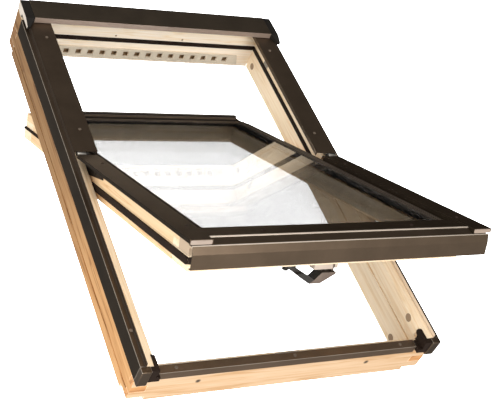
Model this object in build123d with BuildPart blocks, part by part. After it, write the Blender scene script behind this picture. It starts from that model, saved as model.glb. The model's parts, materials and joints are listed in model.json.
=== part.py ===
"""Centre-pivot timber roof window with its frame, the sash standing part open on its pivots."""

import math
import os

from build123d import *

os.makedirs("parts", exist_ok=True)

# Millimetres. X runs across the window, Y up the slope, Z outward.
# The origin is the middle of the frame on its room side.

# Timber frame
frame_width = 780.0
frame_length = 1178.0
frame_depth = 128.0
jamb_thickness = 38.0
jamb_slope_width = 15.0
jamb_slope_drop = 5.0
head_thickness = 40.0
sill_thickness = 18.0
sill_drop = 30.0
shelf_thickness = 58.0
shelf_gap = 4.0
lip_height = 12.0
lip_notch = 40.0
finger_rows = 4
lining_groove_level = 29.0
lining_groove_width = 5.0
lining_groove_depth = 4.0
seal_groove_width = 4.0
seal_groove_depth = 4.0
duct_height = 20.0
duct_depth = 9.0
blind_hole_radius = 3.0
blind_hole_depth = 14.0
blind_hole_spacing = 209.0
blind_hole_level = 87.0

# Sheet metal of the frame
sheet = 2.0
thin_sheet = 1.5
cladding_leg = 49.0
cladding_head_gap = 50.5
cladding_flange = 14.4
upstand_height = 9.5
end_cap_length = 16.0
end_cap_width = 23.5
end_cap_drop = 0.5
sill_leg = 23.0
sill_sheet_width = 19.5
sill_sheet_end_gap = 11.4
cover_stand = 11.8
cover_depth = 11.0
upper_cover_width = 60.0
upper_cover_gap = 0.6
hood_reach = 34.0
hood_side_inset = 25.0
hood_stand = 30.0
hood_lip = 17.0
hood_rear_leg = 48.0
hood_cap_fall = 2.0
hood_cap_wall = 2.0
hood_cap_skirt = 28.0
hood_cap_nose = 27.0
hood_cap_nose_drop = 9.0
hood_cap_nose_width = 8.0
hood_cap_gap = 0.8

# Seals and small fittings of the frame
corner_seal_reach = 13.0
corner_seal_length = 46.0
corner_seal_width = 8.0
corner_seal_proud = 2.0
corner_seal_front = 16.0
corner_foot_width = 11.0
corner_foot_length = 29.0
corner_foot_stand = 4.0
corner_foot_drop = 9.0
corner_seal_neck = 9.0
corner_seal_waist = 13.0
corner_seal_dip = 2.5
corner_seal_play = 0.4
gasket_rise = 2.0
gasket_height = 14.0
gasket_proud = 2.5
gasket_pivot_gap = 45.0
vent_level = 10.0
vent_height = 33.0
vent_side_gap = 39.0
vent_thickness = 5.0
vent_hole_margin = 25.0
vent_hole_shift = -5.0
vent_hole_width = 16.0
vent_hole_height = 17.0
vent_hole_count = 16
vent_end_slant = 10.0
strike_left = -50.0
strike_right = 14.0
strike_height = 4.0
strike_thickness = 1.0
strike_setback = 1.0
plug_radius = 10.5
plug_proud = 0.6
small_plug_radius = 10.0
plug_up = 76.0
sill_plug_up = 83.5
sill_plug_level = 18.5
head_plug_gap = 32.0
head_plug_level = 26.8
keeper_thickness = 1.5
keeper_length = 26.0
keeper_height = 16.0
keeper_head_gap = 80.0

# Pivot
pivot_up = 22.6
pivot_stand = 9.8
open_angle = 30.4
pin_radius = 4.0
pin_clearance = 0.05
barrel_radius = 6.0
barrel_length = 20.0
hinge_plate = 2.0
hinge_plate_width = 36.0
hinge_plate_height = 48.0
hinge_plate_drop = 8.0
hinge_neck = 10.0
hinge_tail_length = 95.0
hinge_tail_root = 28.0
hinge_tail_tip = 9.0
hinge_tail_drop = 16.0
hinge_bolt_radius = 4.0
hinge_bolt_height = 1.2

# Sash
sash_side_gap = 8.0
upper_inset = 6.0
upper_step = 4.0
upper_step_rise = 30.0
stile_width = 54.0
sash_room_drop = 77.5
sash_bottom_gap = 8.0
sash_top_gap = 8.0
rail_width = 64.0
bottom_rail_width = 76.0
rebate_width = 26.0
rail_rebate_width = 12.0
bottom_rebate_width = 14.0
strip_lean = 2.0
pane = 4.0
pane_space = 16.0
glass_drop = 2.0
glass_edge_gap = 4.0
spacer_width = 9.0
spacer_inset = 3.0
sash_timber_drop = 6.0
room_chamfer = 9.0
profile_drop = 2.0
profile_ridge_stand = 3.5
profile_step_stand = 1.5
profile_lip = 18.0
glazing_seal = 1.5
top_cover_stand = 10.0
top_cover_ridge_in = 36.0
top_cover_width = 92.0
strip_stand = 9.5
strip_bead = 2.2
strip_bead_sink = 0.6
strip_side_gap = 1.5
strip_inner = 42.0
strip_ridge = 13.0
front_fold = 36.0
front_fold_drop = 2.0
front_band = 17.0
front_band_slope = 2.5
front_height = 48.0
front_side_gap = 22.5
front_shelf = 16.0
front_return = 8.0
lower_cover_width = 50.0
lower_cover_gap = 1.6
lower_cover_pivot_gap = 15.0
lower_cover_overhang = 35.0
lower_cover_lip = 9.0
cover_end_length = 9.0
cover_end_recess = 0.6
cover_end_height = 9.0
cover_end_round = 2.5
end_block_proud = 0.8
end_block_depth = 37.0
end_block_nose = 19.0
end_block_length = 92.0
end_block_front = 20.0
sash_gasket_rise = 3.0
sash_gasket_proud = 5.5
sash_gasket_height = 15.0

# Lock and handle
lock_plate_left = -79.0
lock_plate_right = 59.0
lock_plate_thickness = 3.0
lock_plate_depth = 28.0
lock_up = 63.0
lug_width = 8.0
lug_height = 32.0
lug_depth = 12.0
lug_gap = 1.0
lock_case_left = -6.0
lock_case_right = 42.0
lock_case_height = 28.5
lock_case_depth = 22.0
handle_axis_drop = 26.5
handle_eye_width = 6.0
handle_eye_radius = 5.0
handle_pin_radius = 2.5
handle_drop = 36.0
handle_foot_left = -17.0
handle_foot_right = 12.0
handle_arm_width = 20.0
handle_crotch_x = -4.0
handle_crotch_up = 9.0
handle_shoulder_x = 13.0
handle_shoulder_drop = 11.5
handle_elbow_drop = 16.0
strap_width = 30.0

# Screws
screw_radius = 4.0
screw_height = 1.6
screw_sides = 12
screw_socket_sides = 6
screw_socket_radius = 1.8
screw_socket_depth = 0.9

sill_depth = frame_depth - sill_drop
cover_top = frame_depth + cover_stand
hood_top = frame_depth + hood_stand
corner_seal_base = sill_depth
corner_seal_top = frame_depth
gasket_level = frame_depth / 2 + gasket_rise
finger_height = (sill_depth - lip_height) / finger_rows
pivot_out = frame_depth + pivot_stand
hinge_plate_high = frame_depth - hinge_plate_drop
hinge_plate_low = hinge_plate_high - hinge_plate_height
sash_room_level = frame_depth - sash_room_drop
shelf_depth = sash_room_level - shelf_gap
glass_top = frame_depth - glass_drop
sash_timber_top = frame_depth - sash_timber_drop
profile_top = frame_depth - profile_drop
profile_ridge = frame_depth + profile_ridge_stand
profile_step = frame_depth + profile_step_stand
top_cover_ridge = frame_depth + top_cover_stand
strip_level = frame_depth + strip_stand
front_fold_level = frame_depth - front_fold_drop
end_block_low = sash_timber_top - end_block_depth
end_block_nose_low = sash_timber_top - end_block_nose
sash_gasket_level = frame_depth / 2 + sash_gasket_rise
half_width = frame_width / 2
y_low = -frame_length / 2
y_high = frame_length / 2
jamb_inner = half_width - jamb_thickness
head_inner = y_high - head_thickness
sill_inner = y_low + sill_thickness
shelf_inner = y_low + shelf_thickness
cladding_outer = half_width + sheet
cladding_top = frame_depth + sheet
upstand_inner = cladding_outer - cladding_flange
upper_cover_outer = upstand_inner - upper_cover_gap
upper_cover_inner = upper_cover_outer - upper_cover_width
lower_cover_outer = upstand_inner - lower_cover_gap
lower_cover_inner = lower_cover_outer - lower_cover_width
strip_half_width = lower_cover_inner - strip_side_gap
front_half_width = cladding_outer - front_side_gap
hood_half_width = half_width - hood_side_inset
vent_half_length = jamb_inner - vent_side_gap
vent_hole_pitch = 2 * (vent_half_length - vent_hole_margin) / vent_hole_count
upper_cover_start = pivot_up + barrel_radius + lug_gap + cover_end_recess
hood_front = head_inner - hood_reach
seal_seat_end = y_low + corner_seal_length - corner_seal_reach + corner_seal_play
sides = (("left", -1), ("right", 1))

sash_half_width = jamb_inner - sash_side_gap
sash_low = sill_inner + sash_bottom_gap
sash_high = head_inner - sash_top_gap
upper_half_width = sash_half_width - upper_inset
upper_start = pivot_up + hinge_plate_width / 2 + hinge_plate
upper_step_level = sash_room_level + upper_step_rise
stile_inner = sash_half_width - stile_width
rebate_inner = sash_half_width - rebate_width
glass_low = glass_top - 2 * pane - pane_space
rebate_floor = glass_low
bottom_rebate = sash_low + bottom_rebate_width
top_rebate = sash_high - top_cover_ridge_in - rail_rebate_width
glass_half_width = rebate_inner - glass_edge_gap
glass_bottom = bottom_rebate + glass_edge_gap
glass_head = top_rebate - glass_edge_gap
handle_y = sash_low + lock_up
handle_axis_z = sash_room_level - handle_axis_drop

# The sash and all it carries are drawn shut and turned about the pivot to the open angle.
swing = (
    Location((0, pivot_up, pivot_out))
    * Location((0, 0, 0), (-open_angle, 0, 0))
    * Location((0, -pivot_up, -pivot_out))
)
shut = Plane(swing)


def in_sash(plane):
    """A plane of the shut sash, turned with it."""
    return Plane(swing * plane.location)


def across(y):
    """The plane of a lengthwise profile at height y up the slope; it extrudes down the slope."""
    return Plane.XZ.offset(-y)


def along(x):
    """The plane of a crosswise profile at x; it extrudes to the right."""
    return Plane.YZ.offset(x)


def block(low, high, mode=Mode.ADD):
    """A box between two corners."""
    middle = tuple((a + b) / 2 for a, b in zip(low, high))
    size = [b - a for a, b in zip(low, high)]
    with Locations(middle):
        Box(*size, mode=mode)


def sided(side, low, high):
    """Two corners of a box on the right, given for either side."""
    if side > 0:
        return low, high
    return (-high[0], low[1], low[2]), (-low[0], high[1], high[2])


def mirrored(side, points):
    """Profile points of the right side, given for either side."""
    return [(side * x, z) for x, z in points]


def folded(path, thickness):
    """The closed outline of a sheet folded along a path, its thickness on the path's left."""
    normals = []
    for (x0, y0), (x1, y1) in zip(path, path[1:]):
        length = math.hypot(x1 - x0, y1 - y0)
        normals.append(((y0 - y1) / length, (x1 - x0) / length))
    inner = []
    for i, (x, y) in enumerate(path):
        before = normals[max(i - 1, 0)]
        after = normals[min(i, len(normals) - 1)]
        share = 1 + before[0] * after[0] + before[1] * after[1]
        inner_x = x + thickness * (before[0] + after[0]) / share
        inner_y = y + thickness * (before[1] + after[1]) / share
        inner.append((inner_x, inner_y))
    return path + inner[::-1]


# Jambs: full-length pine with a sloped inner top edge, a lining groove outside and a seal groove inside
for side_name, side in sides:
    jamb_profile = [
        (half_width, 0),
        (half_width, frame_depth),
        (jamb_inner + jamb_slope_width, frame_depth),
        (jamb_inner, frame_depth - jamb_slope_drop),
        (jamb_inner, 0),
    ]
    groove_low = lining_groove_level - lining_groove_width / 2
    groove_high = lining_groove_level + lining_groove_width / 2
    seal_low = gasket_level + gasket_height / 2 - seal_groove_width / 2
    seal_high = seal_low + seal_groove_width
    with BuildPart() as frame_jamb:
        with BuildSketch(across(y_high)):
            Polygon(*mirrored(side, jamb_profile), align=None)
        extrude(amount=frame_length)
        outer_groove = sided(
            side,
            (half_width - lining_groove_depth, y_low, groove_low),
            (half_width, y_high, groove_high),
        )
        block(*outer_groove, mode=Mode.SUBTRACT)
        inner_groove = sided(
            side,
            (jamb_inner, y_low, seal_low),
            (jamb_inner + seal_groove_depth, y_high, seal_high),
        )
        block(*inner_groove, mode=Mode.SUBTRACT)
        # finger joints with the sill and the head
        for y0, y1 in ((y_low, sill_inner), (head_inner, y_high)):
            for step in (0, 2):
                z0 = lip_height + step * finger_height
                finger = sided(side, (jamb_inner, y0, z0), (half_width, y1, z0 + finger_height))
                block(*finger, mode=Mode.SUBTRACT)
        # the room-side lip stops short of the corners
        for y0, y1 in ((y_low, y_low + lip_notch), (y_high - lip_notch, y_high)):
            notch = sided(side, (jamb_inner, y0, 0), (half_width, y1, lip_height))
            block(*notch, mode=Mode.SUBTRACT)
        # seat of the moulded corner seal
        seat = sided(
            side,
            (jamb_inner, y_low, corner_seal_base),
            (jamb_inner + corner_seal_width - corner_seal_proud, seal_seat_end, frame_depth),
        )
        block(*seat, mode=Mode.SUBTRACT)
    frame_jamb.part.label = "frame_jamb_" + side_name
    export_step(frame_jamb.part, "parts/frame_jamb_" + side_name + ".step")

# Sill: an upper board with a thicker shelf on the room side
with BuildPart() as frame_sill:
    sill_profile = [
        (y_low, 0),
        (shelf_inner, 0),
        (shelf_inner, shelf_depth),
        (sill_inner, shelf_depth),
        (sill_inner, sill_depth),
        (y_low, sill_depth),
    ]
    with BuildSketch(along(-jamb_inner)):
        Polygon(*sill_profile, align=None)
    extrude(amount=2 * jamb_inner)
    for side_name, side in sides:
        for step in (0, 2):
            z0 = lip_height + step * finger_height
            finger = sided(side, (jamb_inner, y_low, z0), (half_width, sill_inner, z0 + finger_height))
            block(*finger)
        notch = sided(side, (jamb_inner - lip_notch / 8, y_low, 0), (jamb_inner, shelf_inner, lip_height))
        block(*notch, mode=Mode.SUBTRACT)
frame_sill.part.label = "frame_sill"
export_step(frame_sill.part, "parts/frame_sill.step")

# Head: carries the air duct behind the vent strip and two blind holes
with BuildPart() as frame_head:
    head_profile = [
        (y_high, 0),
        (y_high, frame_depth),
        (head_inner + jamb_slope_width, frame_depth),
        (head_inner, frame_depth - jamb_slope_drop),
        (head_inner, 0),
    ]
    with BuildSketch(along(-jamb_inner)):
        Polygon(*head_profile, align=None)
    extrude(amount=2 * jamb_inner)
    for side_name, side in sides:
        for step in (0, 2):
            z0 = lip_height + step * finger_height
            finger = sided(side, (jamb_inner, head_inner, z0), (half_width, y_high, z0 + finger_height))
            block(*finger)
    duct_half = vent_hole_pitch * vent_hole_count / 2
    duct_low = vent_level + (vent_height - duct_height) / 2
    block(
        (vent_hole_shift - duct_half, head_inner, duct_low),
        (vent_hole_shift + duct_half, head_inner + duct_depth, duct_low + duct_height),
        mode=Mode.SUBTRACT,
    )
    block(
        (-jamb_inner, head_inner, seal_low),
        (jamb_inner, head_inner + seal_groove_depth, seal_high),
        mode=Mode.SUBTRACT,
    )
    for x in (-blind_hole_spacing / 2, blind_hole_spacing / 2):
        with Locations((x, head_inner + blind_hole_depth / 2, blind_hole_level)):
            Cylinder(blind_hole_radius, blind_hole_depth, rotation=(90, 0, 0), mode=Mode.SUBTRACT)
frame_head.part.label = "frame_head"
export_step(frame_head.part, "parts/frame_head.step")

# Side cladding: outer leg, top flange and inner upstand in one folded sheet
for side_name, side in sides:
    cladding_path = [
        (cladding_outer, cladding_top - cladding_leg),
        (cladding_outer, cladding_top),
        (upstand_inner + sheet, cladding_top),
        (upstand_inner + sheet, cladding_top + upstand_height),
    ]
    with BuildPart() as side_cladding:
        with BuildSketch(across(y_high - cladding_head_gap)):
            Polygon(*mirrored(side, folded(cladding_path, sheet)), align=None)
        extrude(amount=frame_length - cladding_head_gap)
    side_cladding.part.label = "side_cladding_" + side_name
    export_step(side_cladding.part, "parts/side_cladding_" + side_name + ".step")

    # Closed end of the side cladding in front of the sill
    with BuildPart() as cladding_end_cap:
        low, high = sided(
            side,
            (cladding_outer - end_cap_width, y_low - end_cap_length, cladding_top - cladding_leg),
            (cladding_outer, y_low, cladding_top - end_cap_drop),
        )
        block(low, high)
        front_edges = cladding_end_cap.edges().group_by(Axis.Y)[0]
        fillet(front_edges, radius=sheet)
    cladding_end_cap.part.label = "cladding_end_cap_" + side_name
    export_step(cladding_end_cap.part, "parts/cladding_end_cap_" + side_name + ".step")

    # Channel cover over the side gap of the upper half
    upper_path = [
        (upper_cover_outer, frame_depth),
        (upper_cover_outer, cover_top),
        (upper_cover_inner, cover_top),
        (upper_cover_inner, cover_top - cover_depth),
    ]
    with BuildPart() as upper_side_cover:
        with BuildSketch(across(head_inner)):
            Polygon(*mirrored(side, folded(upper_path, thin_sheet)), align=None)
        extrude(amount=head_inner - upper_cover_start)
    upper_side_cover.part.label = "upper_side_cover_" + side_name
    export_step(upper_side_cover.part, "parts/upper_side_cover_" + side_name + ".step")

    # Moulded end of the hood: a hollow cap with a skirt down the jamb and a nose over the cover
    cap_top = hood_top - hood_cap_fall
    cap_back = y_high + sheet
    cap_under = cover_top + hood_cap_gap
    cap_step = head_inner + hood_cap_gap
    nose_tip = hood_front - hood_cap_nose
    cap_outline = [
        (cap_back, hood_top - hood_cap_skirt),
        (cap_back, cap_top),
        (hood_front, cap_top),
        (nose_tip, cap_top - hood_cap_nose_drop),
        (nose_tip, cap_under),
        (cap_step, cap_under),
        (cap_step, hood_top - hood_cap_skirt),
    ]
    with BuildPart() as hood_end_cap:
        with BuildSketch(along(side * hood_half_width)):
            Polygon(*cap_outline, align=None)
        extrude(amount=side * (half_width - hood_half_width))
        hollow = sided(
            side,
            (hood_half_width, hood_front + hood_cap_wall, hood_top - hood_cap_skirt),
            (half_width - hood_cap_wall, cap_back - hood_cap_wall, cap_top - hood_cap_wall),
        )
        block(*hollow, mode=Mode.SUBTRACT)
        # the nose narrows on its inner side
        with BuildSketch(Plane.XY.offset(cap_under)):
            Polygon(
                (side * hood_half_width, hood_front),
                (side * (half_width - hood_cap_nose_width), nose_tip),
                (side * hood_half_width, nose_tip),
                align=None,
            )
        extrude(amount=cap_top - cap_under, mode=Mode.SUBTRACT)
        nose_edges = hood_end_cap.edges().filter_by(Axis.Z).group_by(Axis.Y)[0]
        fillet(nose_edges, radius=hood_cap_wall)
    hood_end_cap.part.label = "hood_end_cap_" + side_name
    export_step(hood_end_cap.part, "parts/hood_end_cap_" + side_name + ".step")

# Hood: folded sheet over the head, with a front lip and a rear leg down the head's outer face
with BuildPart() as head_hood:
    hood_path = [
        (y_high + sheet, hood_top - hood_rear_leg),
        (y_high + sheet, hood_top),
        (hood_front, hood_top),
        (hood_front, hood_top - hood_lip),
    ]
    with BuildSketch(along(-hood_half_width)):
        Polygon(*folded(hood_path, sheet), align=None)
    extrude(amount=2 * hood_half_width)
head_hood.part.label = "head_hood"
export_step(head_hood.part, "parts/head_hood.step")

# Sill cladding: front leg and top face
with BuildPart() as sill_cladding:
    sill_path = [
        (sill_inner + sill_sheet_width - sill_thickness, sill_depth + sheet),
        (y_low - sheet, sill_depth + sheet),
        (y_low - sheet, sill_depth + sheet - sill_leg),
    ]
    with BuildSketch(along(-jamb_inner + sill_sheet_end_gap)):
        Polygon(*folded(sill_path, sheet), align=None)
    extrude(amount=2 * (jamb_inner - sill_sheet_end_gap))
sill_cladding.part.label = "sill_cladding"
export_step(sill_cladding.part, "parts/sill_cladding.step")

# Moulded corner seals: a fin with an S-shaped outline, a plate over the jamb's end and a foot on the sill
for side_name, side in sides:
    seal_front = y_low - corner_seal_reach
    seal_back = seal_front + corner_seal_length
    seal_waist = seal_back - corner_seal_neck
    seal_turn = corner_seal_base + corner_seal_waist
    with BuildPart() as sill_corner_seal:
        with BuildSketch(along(side * (jamb_inner - corner_seal_proud))):
            with BuildLine():
                Line((y_low, corner_seal_base), (seal_waist, corner_seal_base))
                ThreePointArc(
                    (seal_waist, corner_seal_base),
                    (seal_waist - corner_seal_dip, (corner_seal_base + seal_turn) / 2),
                    (seal_waist, seal_turn),
                )
                ThreePointArc(
                    (seal_waist, seal_turn),
                    (seal_back, (seal_turn + corner_seal_top) / 2),
                    (seal_waist, corner_seal_top),
                )
                Line((seal_waist, corner_seal_top), (seal_front, corner_seal_top))
                Line((seal_front, corner_seal_top), (seal_front, seal_turn))
                Line((seal_front, seal_turn), (y_low, corner_seal_base))
            make_face()
        extrude(amount=side * corner_seal_width)
        end_plate = sided(
            side,
            (jamb_inner, seal_front, sill_depth - corner_foot_drop),
            (jamb_inner + corner_seal_front, y_low, corner_seal_top),
        )
        block(*end_plate)
        foot_top = sill_depth + corner_foot_stand
        foot = sided(
            side,
            (jamb_inner - corner_foot_width, seal_front, sill_depth),
            (jamb_inner, seal_front + corner_foot_length, foot_top),
        )
        block(*foot)
        foot_drop = sided(
            side,
            (jamb_inner - corner_foot_width, seal_front, sill_depth - corner_foot_drop),
            (jamb_inner, y_low, foot_top),
        )
        block(*foot_drop)
    sill_corner_seal.part.label = "sill_corner_seal_" + side_name
    export_step(sill_corner_seal.part, "parts/sill_corner_seal_" + side_name + ".step")

    # Seal on the upper half of the jamb's inner face, with its foot in the groove
    with BuildPart() as frame_gasket:
        foot_gap = seal_groove_depth / 8
        body = sided(
            side,
            (jamb_inner - gasket_proud, pivot_up + gasket_pivot_gap, gasket_level),
            (jamb_inner, head_inner - gasket_proud, gasket_level + gasket_height),
        )
        block(*body)
        foot = sided(
            side,
            (jamb_inner, pivot_up + gasket_pivot_gap, seal_low),
            (jamb_inner + seal_groove_depth - foot_gap, head_inner - gasket_proud, seal_high),
        )
        block(*foot)
    frame_gasket.part.label = "frame_gasket_" + side_name
    export_step(frame_gasket.part, "parts/frame_gasket_" + side_name + ".step")

with BuildPart() as frame_gasket_top:
    block(
        (-jamb_inner, head_inner - gasket_proud, gasket_level),
        (jamb_inner, head_inner, gasket_level + gasket_height),
    )
    block(
        (-jamb_inner, head_inner, seal_low),
        (jamb_inner, head_inner + seal_groove_depth - foot_gap, seal_high),
    )
frame_gasket_top.part.label = "frame_gasket_top"
export_step(frame_gasket_top.part, "parts/frame_gasket_top.step")

# Vent strip: a flat strip with slanted ends and a row of square holes
with BuildPart() as vent_strip:
    vent_outline = [
        (-vent_half_length, vent_level),
        (vent_half_length, vent_level),
        (vent_half_length - vent_end_slant, vent_level + vent_height),
        (-vent_half_length + vent_end_slant, vent_level + vent_height),
    ]
    with BuildSketch(across(head_inner)):
        Polygon(*vent_outline, align=None)
    extrude(amount=vent_thickness)
    vent_middle = vent_level + vent_height / 2
    for hole in range(vent_hole_count):
        x = vent_hole_shift + (hole - (vent_hole_count - 1) / 2) * vent_hole_pitch
        block(
            (x - vent_hole_width / 2, head_inner - vent_thickness, vent_middle - vent_hole_height / 2),
            (x + vent_hole_width / 2, head_inner, vent_middle + vent_hole_height / 2),
            mode=Mode.SUBTRACT,
        )
vent_strip.part.label = "vent_strip"
export_step(vent_strip.part, "parts/vent_strip.step")

# Strike plate standing on the sill cladding's inner edge
with BuildPart() as strike_plate:
    strike_back = sill_inner + sill_sheet_width - sill_thickness - strike_setback
    block(
        (strike_left, strike_back - strike_thickness, sill_depth + sheet),
        (strike_right, strike_back, sill_depth + sheet + strike_height),
    )
strike_plate.part.label = "strike_plate"
export_step(strike_plate.part, "parts/strike_plate.step")

# Plastic bushings on the jambs' inner faces
plug_level = frame_depth - jamb_slope_drop - plug_radius - plug_proud
plug_spots = (
    (y_low + plug_up, plug_level, plug_radius),
    (y_low + sill_plug_up, sill_plug_level, small_plug_radius),
    (head_inner - head_plug_gap, head_plug_level, small_plug_radius),
)
with BuildPart() as jamb_plugs:
    for side_name, side in sides:
        for y, z, radius in plug_spots:
            with Locations((side * (jamb_inner - plug_proud / 2), y, z)):
                Cylinder(radius, plug_proud, rotation=(0, 90, 0))
jamb_plugs.part.label = "jamb_plugs"
export_step(jamb_plugs.part, "parts/jamb_plugs.step")

# Keeper plates for the sash's upper end, above the jamb seals
keeper_y = head_inner - keeper_head_gap - keeper_length
keeper_z = gasket_level + gasket_height + keeper_thickness
with BuildPart() as jamb_keepers:
    for side_name, side in sides:
        keeper = sided(
            side,
            (jamb_inner - keeper_thickness, keeper_y, keeper_z),
            (jamb_inner, keeper_y + keeper_length, keeper_z + keeper_height),
        )
        block(*keeper)
jamb_keepers.part.label = "jamb_keepers"
export_step(jamb_keepers.part, "parts/jamb_keepers.step")

# Frame side of the pivot: a plate on the jamb, a neck over its top edge and a barrel for the pin
for side_name, side in sides:
    frame_plate_inner = jamb_inner - hinge_plate
    with BuildPart() as frame_hinge:
        plate = sided(
            side,
            (frame_plate_inner, pivot_up - hinge_plate_width / 2, hinge_plate_low),
            (jamb_inner, pivot_up + hinge_plate_width / 2, hinge_plate_high),
        )
        block(*plate)
        neck = sided(
            side,
            (frame_plate_inner, pivot_up - hinge_neck / 2, hinge_plate_high),
            (jamb_inner, pivot_up + hinge_neck / 2, pivot_out),
        )
        block(*neck)
        bridge = sided(
            side,
            (frame_plate_inner, pivot_up - hinge_neck / 2, frame_depth),
            (jamb_inner + barrel_length, pivot_up + hinge_neck / 2, pivot_out),
        )
        block(*bridge)
        with Locations((side * (frame_plate_inner + (barrel_length + hinge_plate) / 2), pivot_up, pivot_out)):
            Cylinder(barrel_radius, barrel_length + hinge_plate, rotation=(0, 90, 0))
            Cylinder(
                pin_radius + pin_clearance,
                barrel_length + 2 * hinge_plate,
                rotation=(0, 90, 0),
                mode=Mode.SUBTRACT,
            )
    frame_hinge.part.label = "frame_hinge_" + side_name
    export_step(frame_hinge.part, "parts/frame_hinge_" + side_name + ".step")

# Screw heads in the frame's sheet covers
cover_screw_x = sash_half_width - hinge_plate / 2
cover_screw_near = pivot_up + 2 * lip_notch + screw_radius
cover_screw_far = head_inner - 2 * lip_notch - 3 * screw_radius
sill_screw_y = y_low + sill_thickness / 2
sill_screw_x = jamb_inner - cover_depth * 5
cladding_screw_y = y_low + 2 * shelf_depth
cover_screw_spots = []
cladding_screw_spots = []
for side_name, side in sides:
    cover_screw_spots.append((side * cover_screw_x, cover_screw_near))
    cover_screw_spots.append((side * cover_screw_x, cover_screw_far))
    cladding_screw_spots.append((side * (upstand_inner + half_width + sheet) / 2, cladding_screw_y))
frame_screw_levels = (
    (sill_depth + sheet, [(x, sill_screw_y) for x in (-sill_screw_x, 0, sill_screw_x)]),
    (cover_top, cover_screw_spots),
    (cladding_top, cladding_screw_spots),
)
with BuildPart() as frame_screws:
    for level, spots in frame_screw_levels:
        with BuildSketch(Plane.XY.offset(level)):
            with Locations(*spots):
                RegularPolygon(screw_radius, screw_sides)
        extrude(amount=screw_height)
        with BuildSketch(Plane.XY.offset(level + screw_height)):
            with Locations(*spots):
                RegularPolygon(screw_socket_radius, screw_socket_sides)
        extrude(amount=-screw_socket_depth, mode=Mode.SUBTRACT)
frame_screws.part.label = "frame_screws"
export_step(frame_screws.part, "parts/frame_screws.step")

# Sash stiles: the room part carries the glass, the outer part runs beside it
for side_name, side in sides:
    room_profile = [
        (sash_half_width, sash_room_level),
        (sash_half_width, rebate_floor),
        (stile_inner, rebate_floor),
        (stile_inner, sash_room_level + room_chamfer),
        (stile_inner + room_chamfer, sash_room_level),
    ]
    with BuildPart(shut) as sash_stile:
        with BuildSketch(in_sash(across(sash_high - rail_width))):
            Polygon(*mirrored(side, room_profile), align=None)
        extrude(amount=sash_high - sash_low - rail_width - bottom_rail_width)
        outer_part = sided(
            side,
            (rebate_inner, bottom_rebate, rebate_floor),
            (sash_half_width, sash_high, sash_timber_top),
        )
        block(*outer_part)
        set_back = sided(
            side,
            (upper_half_width, upper_start, sash_room_level),
            (sash_half_width, sash_high, sash_timber_top),
        )
        block(*set_back, mode=Mode.SUBTRACT)
        seal_step = sided(
            side,
            (upper_half_width - upper_step, upper_start, upper_step_level),
            (sash_half_width, sash_high, sash_timber_top),
        )
        block(*seal_step, mode=Mode.SUBTRACT)
    sash_stile.part.label = "sash_stile_" + side_name
    export_step(sash_stile.part, "parts/sash_stile_" + side_name + ".step")

# Sash rails
with BuildPart(shut) as sash_top_rail:
    top_profile = [
        (sash_high, sash_room_level),
        (sash_high, rebate_floor),
        (sash_high - rail_width, rebate_floor),
        (sash_high - rail_width, sash_room_level + room_chamfer),
        (sash_high - rail_width + room_chamfer, sash_room_level),
    ]
    with BuildSketch(in_sash(along(-upper_half_width))):
        Polygon(*top_profile, align=None)
    extrude(amount=2 * upper_half_width)
    block((-rebate_inner, top_rebate, rebate_floor), (rebate_inner, sash_high, sash_timber_top))
    for side_name, side in sides:
        seal_step = sided(
            side,
            (upper_half_width - upper_step, sash_high - rail_width, upper_step_level),
            (upper_half_width, sash_high, sash_timber_top),
        )
        block(*seal_step, mode=Mode.SUBTRACT)
sash_top_rail.part.label = "sash_top_rail"
export_step(sash_top_rail.part, "parts/sash_top_rail.step")

with BuildPart(shut) as sash_bottom_rail:
    bottom_profile = [
        (sash_low, sash_room_level),
        (sash_low, sash_timber_top),
        (bottom_rebate, sash_timber_top),
        (bottom_rebate, rebate_floor),
        (sash_low + bottom_rail_width, rebate_floor),
        (sash_low + bottom_rail_width, sash_room_level + room_chamfer),
        (sash_low + bottom_rail_width - room_chamfer, sash_room_level),
    ]
    with BuildSketch(in_sash(along(-sash_half_width))):
        Polygon(*bottom_profile, align=None)
    extrude(amount=2 * sash_half_width)
sash_bottom_rail.part.label = "sash_bottom_rail"
export_step(sash_bottom_rail.part, "parts/sash_bottom_rail.step")

# Double glazing
with BuildPart(shut) as outer_pane:
    block((-glass_half_width, glass_bottom, glass_top - pane), (glass_half_width, glass_head, glass_top))
outer_pane.part.label = "outer_pane"
export_step(outer_pane.part, "parts/outer_pane.step")

with BuildPart(shut) as inner_pane:
    block((-glass_half_width, glass_bottom, glass_low), (glass_half_width, glass_head, glass_low + pane))
inner_pane.part.label = "inner_pane"
export_step(inner_pane.part, "parts/inner_pane.step")

spacer_low = glass_low + pane
spacer_high = glass_top - pane
spacer_x = glass_half_width - spacer_inset
spacer_y0 = glass_bottom + spacer_inset
spacer_y1 = glass_head - spacer_inset
with BuildPart(shut) as spacer_left:
    block((-spacer_x, spacer_y0, spacer_low), (-spacer_x + spacer_width, spacer_y1, spacer_high))
spacer_left.part.label = "spacer_left"
export_step(spacer_left.part, "parts/spacer_left.step")

with BuildPart(shut) as spacer_right:
    block((spacer_x - spacer_width, spacer_y0, spacer_low), (spacer_x, spacer_y1, spacer_high))
spacer_right.part.label = "spacer_right"
export_step(spacer_right.part, "parts/spacer_right.step")

with BuildPart(shut) as spacer_bottom:
    block(
        (-spacer_x + spacer_width, spacer_y0, spacer_low),
        (spacer_x - spacer_width, spacer_y0 + spacer_width, spacer_high),
    )
spacer_bottom.part.label = "spacer_bottom"
export_step(spacer_bottom.part, "parts/spacer_bottom.step")

with BuildPart(shut) as spacer_top:
    block(
        (-spacer_x + spacer_width, spacer_y1 - spacer_width, spacer_low),
        (spacer_x - spacer_width, spacer_y1, spacer_high),
    )
spacer_top.part.label = "spacer_top"
export_step(spacer_top.part, "parts/spacer_top.step")

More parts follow.
